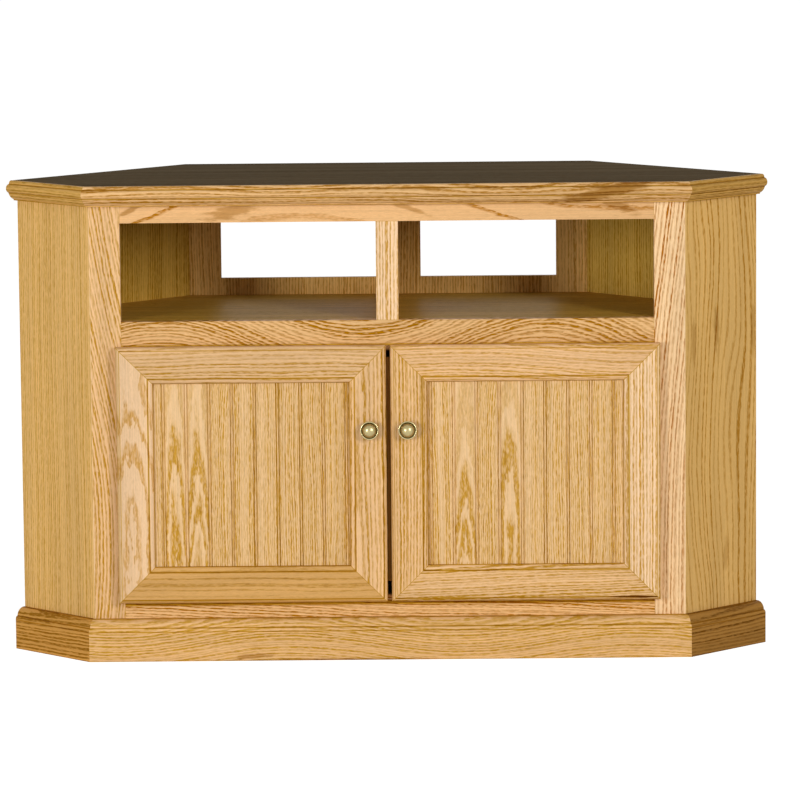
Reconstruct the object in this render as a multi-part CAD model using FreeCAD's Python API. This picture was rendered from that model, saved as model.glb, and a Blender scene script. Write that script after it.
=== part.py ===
import FreeCAD, Part
import math
import os

# Corner cabinet for a television, in millimetres: +Z up, +X to the right, front towards -Y.
# The origin lies on the floor, in the middle of the whole cabinet's box.

# Plan and height: a wide front, two short wings at 45 degrees and two wall sides at 45 degrees
front_width = 1018.0
wing_run = 130.0
wall_run = 279.0
height = 820.0

# Boards
frame_thickness = 19.0
wing_thickness = 19.0
wall_thickness = 12.0
deck_thickness = 19.0
top_thickness = 19.0
partition_thickness = 19.0

# Face frame
stile_width = 53.0
mullion_width = 38.0
bay_drop = 64.5
bay_height = 169.5
middle_rail_width = 51.5
cupboard_floor = 110.0
bottom_rail_width = 60.0

# Crown moulding, from the flat top down: rolled edge, quirk, bullnose, sloped belly and foot
crown_height = 35.0
crown_flat = 14.0
crown_roll = 4.5
crown_roll_height = 6.0
crown_quirk = 1.5
crown_nose_height = 15.0
crown_nose_reach = 5.5
crown_belly_depth = 11.5
crown_belly_height = 12.0
crown_belly_share = 0.12
top_lap = 10.0

# Base moulding, from the floor up: flat board, small roll, quirk and large roll
base_height = 72.0
base_thickness = 22.0
base_flat_height = 51.0
base_small_roll = 2.5
base_small_roll_height = 6.5
base_quirk = 1.5
base_top_flat = 3.0

# Cable cut-outs in the back panel: from the bay's floor and top, the cabinet's middle and the back's ends
cutout_rise = 30.0
cutout_drop = 4.5
left_cutout_inner = 21.0
left_cutout_margin = 62.0
right_cutout_inner = 58.0
right_cutout_margin = 60.0

# Groove for the partition, cleats under the decks and glue blocks under the top
partition_housing = 6.0
cleat_size = 19.0
cleat_end_gap = 60.0
glue_block_length = 80.0

# Loose shelf on its cleats
shelf_thickness = 19.0
shelf_height = 332.0
shelf_setback = 45.0
shelf_gap = 2.0

# Doors
door_overlay = 9.5
door_gap = 7.3
door_standoff = 3.0
door_thickness = 19.0
door_frame_width = 63.5
door_back_round = 3.0
door_edge_width = 6.0
door_edge_step = 1.2
door_edge_drop = 6.5
sticking_width = 9.3
sticking_step = 1.0
sticking_lip = 1.2
panel_thickness = 6.0
panel_setback = 4.0
panel_slack = 0.1
groove_depth = 9.5
panel_end_gap = 1.5

# Beads of the door panels
bead_pitch = 39.16
bead_offset = 5.6
bead_half = 2.2
bead_quirk = 1.0
bead_depth = 1.6

# Knobs
knob_inset = 29.0
knob_drop = 144.0
knob_reach = 25.0
knob_neck_radius = 7.5
knob_rim_radius = 16.0
knob_rim_height = 13.0
knob_rim_width = 2.4
knob_rim_depth = 5.0
knob_groove_width = 1.2
knob_groove_depth = 1.4
knob_dome_bands = 3

# Concealed hinges: a cup in the door, a bent arm on the stile's edge and a pin between them
hinge_inset = 78.0
hinge_open_degrees = 105.0
pivot_inset = 8.0
sweep_clearance = 0.6
hinge_pin_radius = 1.5
hinge_running_clearance = 0.05
knuckle_radius = 3.0
arm_thickness = 2.0
arm_height = 9.0
arm_clearance = 0.3
arm_return = 6.0
plate_depth = 11.0
plate_height = 44.0
cup_radius = 17.5
cup_edge = 3.5
cup_floor = 0.8
flange_thickness = 1.2
flange_width = 38.0
flange_height = 58.0
flange_edge = 4.2

# Soft stops and the strip behind the gap of the doors
bumper_size = 5.8
bumper_inset = 22.0
bumper_clearance = 0.2
strip_width = 23.0
strip_thickness = 3.0
strip_clearance = 0.65
strip_end_gap = 24.0

# Fits and cuts
wood_fit = 0.05
overrun = 10.0
quarter_share = (math.sqrt(2) - 1) / 2
shallow_share = 0.13

# Sizes that follow from the ones above
front_half = front_width / 2
back_half = front_half + wing_run - wall_run
back_depth = wing_run + wall_run
carcass_top = height - top_thickness
bay_top = height - bay_drop
bay_floor = bay_top - bay_height
cupboard_top = bay_floor - middle_rail_width
opening_half = front_half - stile_width
front_reach = door_standoff + door_thickness + knob_reach
front_y = (front_reach - back_depth) / 2
back_y = front_y + back_depth
door_back_y = front_y - door_standoff
hinge_edge_x = -opening_half - door_overlay
door_width = opening_half + door_overlay - door_gap / 2
door_bottom = cupboard_floor - door_overlay
door_top = cupboard_top + door_overlay
knob_height = door_top - knob_drop
hinge_heights = (door_bottom + hinge_inset, door_top - hinge_inset)

# The pin stands so far before the frame that the door's rounded back corner sweeps clear of it
pivot_reach = door_back_round + (
    ((pivot_inset - door_back_round) ** 2 + door_standoff ** 2 - sweep_clearance ** 2)
    / (2 * (door_standoff - sweep_clearance))
)
pivot_depth = pivot_reach - door_standoff
corner_sweep = pivot_reach - sweep_clearance
arm_leg = pivot_inset + corner_sweep + sweep_clearance
cup_centre = cup_edge + cup_radius
slot_depth = pivot_depth + knuckle_radius + arm_clearance
cup_depth = slot_depth + cup_floor

V = FreeCAD.Vector
UP = V(0, 0, 1)
FORWARD = V(0, -1, 0)

# Corners of the plan, seen from above and counter-clockwise; side N starts at corner N
FRONT, RIGHT_WING, RIGHT_WALL, BACK, LEFT_WALL, LEFT_WING = range(6)
corners = [
    V(-front_half, front_y, 0),
    V(front_half, front_y, 0),
    V(front_half + wing_run, front_y + wing_run, 0),
    V(back_half, back_y, 0),
    V(-back_half, back_y, 0),
    V(-front_half - wing_run, front_y + wing_run, 0),
]


def side_frame(side):
    """Start corner, direction, outward normal and length of one side of the plan."""
    start = corners[side]
    run = corners[(side + 1) % len(corners)] - start
    along = V(run) / run.Length
    return start, along, along.cross(UP), run.Length


def meet(side_a, inset_a, side_b, inset_b):
    """Plan point where two sides cross after each is moved inward by its inset."""
    start_a, along_a, out_a, _ = side_frame(side_a)
    start_b, _, out_b, _ = side_frame(side_b)
    begin = start_a - out_a * inset_a
    travel = ((start_b - out_b * inset_b - begin).dot(out_b)) / along_a.dot(out_b)
    return begin + along_a * travel


def ring(front, wing, wall, back):
    """The six corners of the plan moved inward by one inset for each kind of side."""
    insets = (front, wing, wall, back, wall, wing)
    return [meet(side - 1, insets[side - 1], side, insets[side]) for side in range(len(corners))]


def prism(points, bottom, top):
    """Upright solid over a plan outline."""
    base = [V(point.x, point.y, bottom) for point in points]
    return Part.Face(Part.makePolygon(base + base[:1])).extrude(UP * (top - bottom))


def box(low, high):
    """Solid between two opposite corners, given in any order."""
    near = V(min(low.x, high.x), min(low.y, high.y), min(low.z, high.z))
    size = [abs(b - a) for a, b in zip(low, high)]
    return Part.makeBox(*size, near)


def outline(steps, place):
    """Face inside a closed line; each step is (across, up, bulge), and a bulge makes an arc."""
    edges = []
    here = steps[-1]
    for step in steps:
        start, end = V(*here[:2], 0), V(*step[:2], 0)
        if step[2]:
            middle = (start + end) / 2 + (end - start).cross(UP) * step[2]
            edges.append(Part.Arc(*[place(p.x, p.y) for p in (start, middle, end)]).toShape())
        else:
            edges.append(Part.LineSegment(place(start.x, start.y), place(end.x, end.y)).toShape())
        here = step
    return Part.Face(Part.Wire(edges))


def mirrored(shape):
    """The same piece on the other side of the cabinet."""
    return shape.mirror(V(0, 0, 0), V(1, 0, 0))


def turned(steps, centre, axis, across):
    """Solid of revolution; each step is (radius, height along the axis, bulge)."""
    face = outline(steps, lambda radius, rise: centre + across * radius + axis * rise)
    return face.revolve(centre, axis, 360)


# Mouldings: a section run along a side and mitred by the wedge of plan that it covers
def moulding(side, steps, wedge):
    start, along, out, length = side_frame(side)
    origin = start - along * (length / 2)
    section = outline(steps, lambda across, rise: origin + out * across + UP * rise)
    return section.extrude(along * (length * 2)).common(prism(wedge, -overrun, height + overrun))


def front_wedge(reach):
    inner = [meet(LEFT_WING, 0, FRONT, 0), meet(FRONT, 0, RIGHT_WING, 0)]
    outer = [meet(FRONT, -reach, RIGHT_WING, -reach), meet(LEFT_WING, -reach, FRONT, -reach)]
    return inner + outer


def left_wedge(reach):
    inner = [meet(LEFT_WALL, 0, LEFT_WING, 0), meet(LEFT_WING, 0, FRONT, 0)]
    outer = [meet(LEFT_WING, -reach, FRONT, -reach), meet(LEFT_WALL, 0, LEFT_WING, -reach)]
    return inner + outer


def crown_steps():
    """Section of the crown, with a rabbet that the top panel lies in."""
    roll_end = crown_flat + crown_roll
    nose_start = roll_end + crown_quirk
    nose_top = height - crown_roll_height
    nose_bottom = nose_top - crown_nose_height
    foot = nose_start - crown_belly_depth
    belly_bottom = nose_bottom - crown_belly_height
    return [
        (top_lap, height, 0),
        (crown_flat, height, 0),
        (roll_end, nose_top, -quarter_share),
        (nose_start, nose_top, 0),
        (nose_start, nose_bottom, -crown_nose_reach / crown_nose_height),
        (foot, belly_bottom, -crown_belly_share),
        (foot, height - crown_height, 0),
        (0, height - crown_height, 0),
        (0, carcass_top, 0),
        (top_lap, carcass_top, 0),
    ]


def base_steps():
    """Section of the base board and its rolled top edge."""
    small_top = base_flat_height + base_small_roll_height
    quirk_in = base_thickness - base_small_roll - base_quirk
    return [
        (0, 0, 0),
        (base_thickness, 0, 0),
        (base_thickness, base_flat_height, 0),
        (base_thickness - base_small_roll, small_top, shallow_share),
        (quirk_in, small_top, 0),
        (base_top_flat, base_height, quarter_share),
        (0, base_height, 0),
    ]


def make_mouldings():
    crown_reach = crown_flat + crown_roll + crown_quirk + crown_nose_reach + overrun
    base_reach = base_thickness + overrun
    crown_left = moulding(LEFT_WING, crown_steps(), left_wedge(crown_reach))
    base_left = moulding(LEFT_WING, base_steps(), left_wedge(base_reach))
    return {
        "crown_front": moulding(FRONT, crown_steps(), front_wedge(crown_reach)),
        "crown_left": crown_left,
        "crown_right": mirrored(crown_left),
        "base_front": moulding(FRONT, base_steps(), front_wedge(base_reach)),
        "base_left": base_left,
        "base_right": mirrored(base_left),
    }


def make_top_panel():
    """Top, lapping over the crown at the front and wings and flush at the wall sides."""
    return {"top_panel": prism(ring(-top_lap, -top_lap, 0, 0), carcass_top, height)}


# Face frame
def frame_board(left, right, bottom, top):
    return box(V(left, front_y, bottom), V(right, front_y + frame_thickness, top))


def left_stile():
    """Left stile, with its outer edge mitred to the wing."""
    corner = corners[FRONT]
    inner_corner = meet(LEFT_WING, wing_thickness, FRONT, frame_thickness)
    edge = -opening_half
    plan = [corner, V(edge, front_y, 0), V(edge, front_y + frame_thickness, 0), inner_corner]
    return prism(plan, 0, carcass_top)


def make_face_frame():
    stile = left_stile()
    mullion_half = mullion_width / 2
    return {
        "left_stile": stile,
        "right_stile": mirrored(stile),
        "top_rail": frame_board(-opening_half, opening_half, bay_top, carcass_top),
        "middle_rail": frame_board(-opening_half, opening_half, cupboard_top, bay_floor),
        "bottom_rail": frame_board(
            -opening_half, opening_half, cupboard_floor - bottom_rail_width, cupboard_floor
        ),
        "mullion": frame_board(-mullion_half, mullion_half, bay_floor, bay_top),
    }


# Carcass panels
def left_wing_panel():
    plan = [
        corners[LEFT_WING],
        corners[FRONT],
        meet(LEFT_WING, wing_thickness, FRONT, frame_thickness),
        meet(LEFT_WALL, 0, LEFT_WING, wing_thickness),
    ]
    return prism(plan, 0, carcass_top)


def left_wall_panel():
    plan = [
        corners[LEFT_WALL],
        meet(LEFT_WALL, 0, LEFT_WING, wing_thickness),
        meet(LEFT_WALL, wall_thickness, LEFT_WING, wing_thickness),
        meet(BACK, wall_thickness, LEFT_WALL, wall_thickness),
    ]
    return prism(plan, 0, carcass_top)


def cable_cutout(left, right):
    """Square-cut window through the back panel."""
    return box(
        V(left, back_y - wall_thickness - overrun, bay_floor + cutout_rise),
        V(right, back_y + overrun, bay_top - cutout_drop),
    )


def back_panel():
    plan = [
        corners[BACK],
        corners[LEFT_WALL],
        meet(BACK, wall_thickness, LEFT_WALL, wall_thickness),
        meet(RIGHT_WALL, wall_thickness, BACK, wall_thickness),
    ]
    panel = prism(plan, 0, carcass_top)
    panel = panel.cut(cable_cutout(left_cutout_margin - back_half, -left_cutout_inner))
    return panel.cut(cable_cutout(right_cutout_inner, back_half - right_cutout_margin))


def make_panels():
    wing, wall = left_wing_panel(), left_wall_panel()
    return {
        "left_wing_panel": wing,
        "right_wing_panel": mirrored(wing),
        "left_wall_panel": wall,
        "right_wall_panel": mirrored(wall),
        "back_panel": back_panel(),
    }


# Decks, partition and what holds them
def side_block(side, thickness, start_gap, end_gap, top):
    """Square batten under a board, along the inner face of a side."""
    start, along, out, length = side_frame(side)
    near = start - out * thickness
    far = near - out * cleat_size
    plan = [
        near + along * start_gap,
        near + along * (length - end_gap),
        far + along * (length - end_gap),
        far + along * start_gap,
    ]
    return prism(plan, top - cleat_size, top)


def glue_block(side, thickness, share):
    length = side_frame(side)[3]
    start_gap = length * share - glue_block_length / 2
    return side_block(side, thickness, start_gap, length - start_gap - glue_block_length, carcass_top)


def make_decks():
    inside = ring(frame_thickness, wing_thickness, wall_thickness, wall_thickness)
    partition_half = partition_thickness / 2
    partition = box(
        V(-partition_half, front_y + frame_thickness, bay_floor - partition_housing),
        V(partition_half, back_y - wall_thickness, carcass_top),
    )
    pieces = {
        "bottom_deck": prism(inside, cupboard_floor - deck_thickness, cupboard_floor),
        "bay_deck": prism(inside, bay_floor - deck_thickness, bay_floor).cut(partition),
        "bay_partition": partition,
    }
    undersides = {
        "bottom": cupboard_floor - deck_thickness,
        "shelf": shelf_height - shelf_thickness,
        "bay": bay_floor - deck_thickness,
    }
    for deck, under in undersides.items():
        left = side_block(LEFT_WALL, wall_thickness, cleat_end_gap, cleat_end_gap, under)
        back = side_block(BACK, wall_thickness, cleat_end_gap, cleat_end_gap, under)
        pieces[deck + "_cleat_left"] = left
        pieces[deck + "_cleat_right"] = mirrored(left)
        pieces[deck + "_cleat_back"] = back
    middle_share, quarter_side_share = 1 / 2, 1 / 4
    left_blocks = [
        glue_block(LEFT_WING, wing_thickness, middle_share),
        glue_block(LEFT_WALL, wall_thickness, middle_share),
        glue_block(BACK, wall_thickness, 1 - quarter_side_share),
    ]
    right_blocks = [mirrored(block) for block in left_blocks]
    pieces["top_glue_blocks"] = Part.makeCompound(left_blocks + right_blocks)
    return pieces


def make_shelf():
    """Shelf that lies loose on its three cleats."""
    plan = ring(
        frame_thickness + shelf_setback,
        wing_thickness + shelf_gap,
        wall_thickness + shelf_gap,
        wall_thickness + shelf_gap,
    )
    return {"loose_shelf": prism(plan, shelf_height - shelf_thickness, shelf_height)}


# Left door; the right one is its mirror image
def door_point(across, forward, rise):
    """Point of the left door, from its hinge edge, its back and the floor."""
    return V(hinge_edge_x + across, door_back_y - forward, rise)


def frame_section():
    """Section of the door frame: (from the outer edge, from the back, bulge)."""
    groove_low = panel_setback - panel_slack
    groove_high = panel_setback + panel_thickness + panel_slack
    stick_start = door_frame_width - sticking_width
    return [
        (door_back_round, 0, quarter_share),
        (door_frame_width, 0, 0),
        (door_frame_width, groove_low, 0),
        (door_frame_width - groove_depth, groove_low, 0),
        (door_frame_width - groove_depth, groove_high, 0),
        (door_frame_width, groove_high, 0),
        (door_frame_width, groove_high + sticking_lip, 0),
        (stick_start, door_thickness - sticking_step, quarter_share),
        (stick_start, door_thickness, 0),
        (door_edge_width, door_thickness, 0),
        (door_edge_width, door_thickness - door_edge_step, 0),
        (0, door_thickness - door_edge_drop, quarter_share),
        (0, door_back_round, 0),
    ]


def frame_member(place, run, corner_points):
    """One side of the door frame, run past its ends and cut to the mitres."""
    blank = outline(frame_section(), place).extrude(run)
    back = [door_point(across, -overrun, rise) for across, rise in corner_points]
    wedge = Part.Face(Part.makePolygon(back + back[:1]))
    return blank.common(wedge.extrude(FORWARD * (door_thickness + 2 * overrun)))


def door_members():
    """Hinge stile, lock stile, top rail and bottom rail before drilling."""
    inner_left, inner_right = door_frame_width, door_width - door_frame_width
    inner_low, inner_high = door_bottom + door_frame_width, door_top - door_frame_width
    upright, sideways = UP * (door_top - door_bottom), V(door_width, 0, 0)
    low_left, low_right = (0, door_bottom), (door_width, door_bottom)
    high_left, high_right = (0, door_top), (door_width, door_top)
    in_low_left, in_low_right = (inner_left, inner_low), (inner_right, inner_low)
    in_high_left, in_high_right = (inner_left, inner_high), (inner_right, inner_high)
    hinge_stile = frame_member(
        lambda across, forward: door_point(across, forward, door_bottom),
        upright, [low_left, in_low_left, in_high_left, high_left],
    )
    lock_stile = frame_member(
        lambda across, forward: door_point(door_width - across, forward, door_bottom),
        upright, [low_right, in_low_right, in_high_right, high_right],
    )
    top_rail = frame_member(
        lambda across, forward: door_point(0, forward, door_top - across),
        sideways, [high_left, in_high_left, in_high_right, high_right],
    )
    bottom_rail = frame_member(
        lambda across, forward: door_point(0, forward, door_bottom + across),
        sideways, [low_left, in_low_left, in_low_right, low_right],
    )
    return hinge_stile, lock_stile, top_rail, bottom_rail


def bead_centres():
    """Places of the beads that show between the door's stiles."""
    opening = door_width / 2 - door_frame_width
    room = opening - bead_half - bead_quirk
    first = math.ceil((-room - bead_offset) / bead_pitch)
    last = math.floor((room - bead_offset) / bead_pitch)
    return [door_width / 2 + bead_offset + bead_pitch * n for n in range(first, last + 1)]


def door_panel():
    """Beaded panel, standing loose in the frame's grooves."""
    margin = door_frame_width - groove_depth + panel_end_gap
    left, right = margin, door_width - margin
    bottom, top = door_bottom + margin, door_top - margin
    face = panel_setback + panel_thickness
    sunk = face - bead_depth
    steps = [(left, panel_setback, 0), (left, face, 0)]
    for centre in bead_centres():
        steps.append((centre - bead_half - bead_quirk, face, 0))
        steps.append((centre - bead_half, sunk, 0))
        steps.append((centre + bead_half, sunk, -bead_depth / (2 * bead_half)))
        steps.append((centre + bead_half + bead_quirk, face, 0))
    steps += [(right, face, 0), (right, panel_setback, 0)]
    section = outline(steps, lambda across, forward: door_point(across, forward, bottom))
    return section.extrude(UP * (top - bottom))


def knob():
    """Turned knob: a neck, and a head with a raised rim and a domed middle."""
    foot = door_point(door_width - knob_inset, door_thickness, knob_height)
    rim_inner = knob_rim_radius - knob_rim_width
    rim_top = knob_rim_height + knob_rim_depth
    dome_edge = rim_inner - knob_groove_width
    groove_floor = rim_top - knob_groove_depth
    dome_rise = knob_reach - groove_floor
    steps = [
        (0, 0, 0),
        (knob_neck_radius, 0, 0),
        (knob_neck_radius, knob_rim_height, 0),
        (knob_rim_radius, knob_rim_height, 0),
        (knob_rim_radius, rim_top, 0),
        (rim_inner, rim_top, 0),
        (rim_inner, groove_floor, 0),
    ]
    for band in range(knob_dome_bands + 1):
        lean = math.radians(90) * band / knob_dome_bands
        steps.append((dome_edge * math.cos(lean), groove_floor + dome_rise * math.sin(lean), 0))
    return turned(steps, foot, FORWARD, V(1, 0, 0))


# Left hinges, in distances from the door's hinge edge and the frame's front
def hinge_point(across, forward, rise):
    return V(hinge_edge_x + across, front_y - forward, rise)


def hinge_arm(rise):
    """Bent arm: plate on the stile's edge, leg through the cup's mouth and knuckle on the pin."""
    half, plate_half = arm_height / 2, plate_height / 2
    leg_out = arm_leg + arm_thickness
    bridge_front = pivot_reach + arm_thickness / 2
    bridge_back = pivot_reach - arm_thickness / 2
    back = -arm_return - arm_thickness
    strap = [
        (pivot_inset, bridge_back, 0),
        (arm_leg, bridge_back, 0),
        (arm_leg, -arm_return, 0),
        (door_overlay, -arm_return, 0),
        (door_overlay, back, 0),
        (leg_out, back, 0),
        (leg_out, bridge_front, 0),
        (pivot_inset, bridge_front, 0),
    ]
    low = rise - half
    bent = outline(strap, lambda across, forward: hinge_point(across, forward, low))
    plate = box(
        hinge_point(door_overlay, -arm_return, rise - plate_half),
        hinge_point(door_overlay + arm_thickness, -arm_return - plate_depth, rise + plate_half),
    )
    pivot = hinge_point(pivot_inset, pivot_reach, low)
    knuckle = Part.makeCylinder(knuckle_radius, arm_height, pivot)
    arm = bent.extrude(UP * arm_height).multiFuse([plate, knuckle]).removeSplitter()
    bore_radius = hinge_pin_radius + hinge_running_clearance
    bore = Part.makeCylinder(bore_radius, arm_height + 2 * overrun, pivot - UP * overrun)
    return arm.cut(bore)


def cup_body(rise, radius, depth):
    """Round body of the cup, or with a larger radius the bore for it."""
    mouth = hinge_point(cup_centre, door_standoff, rise)
    return Part.makeCylinder(radius, depth, mouth, FORWARD)


def cup_flange(rise):
    """Thin plate on the door's back."""
    half = flange_height / 2
    return box(
        hinge_point(flange_edge, door_standoff - flange_thickness, rise - half),
        hinge_point(flange_edge + flange_width, door_standoff, rise + half),
    )


def hinge_cup(rise):
    """Cup with its flange, the slot that the arm swings in and the pin across the slot."""
    lean = math.radians(hinge_open_degrees - 90)
    swing = pivot_depth * math.tan(lean) + arm_thickness / 2 / math.cos(lean)
    slot_start = pivot_inset - max(knuckle_radius, swing) - arm_clearance
    reach = math.hypot(arm_leg + arm_thickness - pivot_inset, arm_thickness / 2)
    slot_end = pivot_inset + reach + arm_clearance
    half = arm_height / 2 + arm_clearance
    slot = box(
        hinge_point(slot_start, door_standoff, rise - half),
        hinge_point(slot_end, door_standoff + slot_depth, rise + half),
    )
    notch = box(
        hinge_point(0, 0, rise - half),
        hinge_point(slot_end, door_standoff, rise + half),
    )
    body = cup_body(rise, cup_radius - wood_fit, cup_depth).fuse(cup_flange(rise)).removeSplitter()
    pin = Part.makeCylinder(hinge_pin_radius, 2 * half, hinge_point(pivot_inset, pivot_reach, rise - half))
    return body.cut(Part.makeCompound([slot, notch])).fuse(pin)


def drilled_hinge_stile(stile):
    bores = [cup_body(z, cup_radius, cup_depth + wood_fit) for z in hinge_heights]
    return stile.cut(Part.makeCompound(bores))


def door_bumpers():
    """Soft stops on the back of the lock stile, where it laps over the frame's rails."""
    thickness = door_standoff - bumper_clearance
    inset = (door_back_round + door_overlay) / 2
    half = bumper_size / 2
    across = door_width - bumper_inset
    stops = []
    for rise in (door_bottom + inset, door_top - inset):
        near = door_point(across - half, -thickness, rise - half)
        stops.append(box(near, door_point(across + half, 0, rise + half)))
    return Part.makeCompound(stops)


def left_door():
    hinge_stile, lock_stile, top_rail, bottom_rail = door_members()
    return {
        "door_hinge_stile": drilled_hinge_stile(hinge_stile),
        "door_lock_stile": lock_stile,
        "door_top_rail": top_rail,
        "door_bottom_rail": bottom_rail,
        "door_panel": door_panel(),
        "door_bumpers": door_bumpers(),
        "knob": knob(),
        "hinge_cups": Part.makeCompound([hinge_cup(z) for z in hinge_heights]),
        "hinge_arms": Part.makeCompound([hinge_arm(z) for z in hinge_heights]),
    }


def gap_strip():
    """Strip on the back of the right door that closes the gap between the doors."""
    left = strip_clearance - door_gap / 2
    low, high = cupboard_floor + strip_end_gap, cupboard_top - strip_end_gap / 2
    return box(
        V(left, door_back_y, low),
        V(left + strip_width, door_back_y + strip_thickness, high),
    )


def make_doors():
    pieces = {}
    for name, shape in left_door().items():
        pieces["left_" + name] = shape
        pieces["right_" + name] = mirrored(shape)
    pieces["right_door_gap_strip"] = gap_strip()
    return pieces


def main():
    os.makedirs("parts", exist_ok=True)
    makers = (
        make_top_panel, make_mouldings, make_face_frame, make_panels, make_decks, make_shelf, make_doors
    )
    for maker in makers:
        for node, shape in maker().items():
            shape.exportStep("parts/" + node + ".step")


main()
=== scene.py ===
import math
from collections import namedtuple

import bmesh
import bpy
from mathutils import Matrix, Vector


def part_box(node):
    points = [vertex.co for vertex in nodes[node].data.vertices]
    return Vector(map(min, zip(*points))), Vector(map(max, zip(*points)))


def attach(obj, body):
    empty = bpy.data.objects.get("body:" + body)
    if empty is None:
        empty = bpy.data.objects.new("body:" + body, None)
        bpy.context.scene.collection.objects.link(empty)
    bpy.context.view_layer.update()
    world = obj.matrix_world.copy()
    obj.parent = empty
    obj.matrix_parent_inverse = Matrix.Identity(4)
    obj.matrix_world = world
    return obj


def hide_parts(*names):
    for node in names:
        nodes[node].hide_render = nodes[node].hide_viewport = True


# Oak corner cabinet on a white studio floor, in metres: +Z up, +X to the right, front towards -Y.

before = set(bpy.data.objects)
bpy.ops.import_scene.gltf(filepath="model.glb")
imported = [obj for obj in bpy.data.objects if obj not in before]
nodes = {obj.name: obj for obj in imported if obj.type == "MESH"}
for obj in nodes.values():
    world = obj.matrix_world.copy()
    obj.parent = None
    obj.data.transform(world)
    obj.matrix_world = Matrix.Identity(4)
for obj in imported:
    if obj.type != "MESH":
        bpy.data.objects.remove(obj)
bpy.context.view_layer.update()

UP = Vector((0, 0, 1))
RIGHT = Vector((1, 0, 0))
BACKWARD = Vector((0, 1, 0))
LEFT_WING = Vector((1, -1, 0)).normalized()
RIGHT_WING = Vector((1, 1, 0)).normalized()
LEFT_WALL = Vector((1, 1, 0)).normalized()
RIGHT_WALL = Vector((1, -1, 0)).normalized()

# Camera
image_pixels = 800
focal_pixels = 5066.29
sensor_width = 36.0
camera_place = Vector((0.04413, -8.78054, 1.61333))
camera_yaw = math.radians(-0.16)
camera_pitch = math.radians(7.72)
camera_roll = math.radians(-0.52)

# Studio
sky_strength = 0.32
backdrop_strength = 1.0
key_places = (Vector((-4.0, -5.5, 1.25)), Vector((4.0, -5.5, 2.4)))
key_watts = (172.0, 168.0)
key_aim = Vector((0.0, 0.0, 0.42))
key_width = 1.2
key_rise = 2.3
floor_size = 60.0
floor_bounce_share = 0.8
floor_shade_share = 0.40
floor_glow_share = 0.90

# Places that the finishes and the screws follow, read from the frame
door_low, door_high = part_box("right_door_hinge_stile")
arms_low, arms_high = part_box("right_hinge_arms")
knob_low, knob_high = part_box("right_knob")
door_bottom = door_low[2]
door_top = door_high[2]
door_back_y = door_high[1]
door_outer_x = door_high[0]
door_frame_width = door_high[0] - door_low[0]
opening_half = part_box("right_stile")[0][0]
crown_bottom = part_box("crown_front")[0][2]
base_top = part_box("base_front")[1][2]
cup_flange_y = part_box("right_hinge_cups")[1][1]
knob_reach = knob_high[1] - knob_low[1]

# Profiles of the doors and the mouldings
door_edge_width = 0.006
sticking_width = 0.0093
bead_pitch = 0.03916
bead_offset = 0.0056
bead_half = 0.0022
crown_nose_bottom = 0.799
crown_nose_top = 0.814
base_flat_top = 0.051
base_quirk_top = 0.0575

# Finish lines: dark lines in joints and quirks, painted shade on the rails above and below the doors, and
# wear with a painted highlight along edges
joint_half = 0.0009
crevice_half = 0.0013
bead_line_half = 0.0020
sticking_line_half = 0.0021
shaded_line_half = 0.0022
quirk_half = 0.0016
arris_half = 0.0016
# Painted shade on the rails just above and just below the doors: half widths, and how far below the doors
# it lies
shade_above_door_half = 0.0038
shade_below_door_half = 0.0060
shade_below_door_drop = 0.004
clean_back = 0.0005
marked_back = 0.0015
butt_share = 0.6
mitre_share = 0.7
sticking_share = 0.95
quirk_share = 0.82
# How pale the stiles' outer edges are: wear with a painted highlight
worn_highlight_share = 0.55
# How dark the painted shade above and below the doors is
shade_above_door_share = 0.6
shade_below_door_share = 1.0
faint_bead_share = 0.4
bead_chance_pace = 1.73
bead_chance_limits = (0.35, 0.65)
lacquer_limits = (0.2, 0.6)

# Noises of the oak's figure: scales along, across and into the board, per metre
sway_scale = (2.6, 7.0, 7.0)
ragged_scale = (22.0, 100.0, 100.0)
feather_scale = (75.0, 380.0, 380.0)
break_scale = (85.0, 400.0, 400.0)
fibre_scale = (3.0, 520.0, 520.0)
speckle_scale = (190.0, 760.0, 760.0)
pore_scale = (55.0, 1250.0, 1250.0)
fleck_scale = (60.0, 430.0, 430.0)
cloud_scale = (1.5, 24.0, 24.0)
smudge_scale = (38.0, 210.0, 1.0)

# Growth rings, pores and fibres: limits are where a noise starts and ends to count, shares are what it
# gives, a pace is how fast it changes from ring to ring, and a row is where it is read
seed_steps = (3.7, 1.3, 2.1)
feather_reach = 0.0018
weather_pace = 0.55
weather_reach = 1.5
vigour_pace = 0.61
vigour_row = 0.5
vigour_limits = (0.3, 0.7)
vigour_shares = (0.45, 1.2)
season_shares = ((0.0, 0.3), (0.07, 1.0), (0.46, 1.0), (0.64, 0.35), (0.84, 0.0), (1.0, 0.1))
break_limits = (0.36, 0.56)
break_shares = (0.5, 1.08)
speckle_share = 0.3
streak_limits = (0.52, 0.66)
streak_share = 0.7
fleck_limits = (0.58, 0.70)
late_pore_share = 0.22
usual_ring_pitch = 0.0052

# Lacquered oak: tone, gloss and relief
amber_limits = (0.3, 0.7)
amber_shares = (0.75, 1.15)
fibre_limits = (0.35, 0.65)
fibre_shares = (1.06, 0.93)
cloud_limits = (0.25, 0.75)
smudge_limits = (0.5, 1.15)
smudge_raggedness = 1.6
oak_roughness = (0.40, 0.62)
early_sink_share = 0.3
pore_depth = 0.0002
coat_roughness = 0.3
bump_strength = 0.6
usual_pores = 0.38
usual_clouds = 0.075
wing_pores = 0.25
inside_pores = 0.3
bead_clouds = 0.03
ply_layer = 0.003
ply_limits = (0.4, 0.6)
ply_edge_limits = (0.3, 0.6)

# Strips of the beaded panels
straight_strip_pith = 0.12
straight_strip_pitch = 0.0034
straight_strip_seed = 1.70
flat_strip_lean = 0.026
flat_strip_pitch = 0.0051
flat_strip_seed = 0.04

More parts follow.
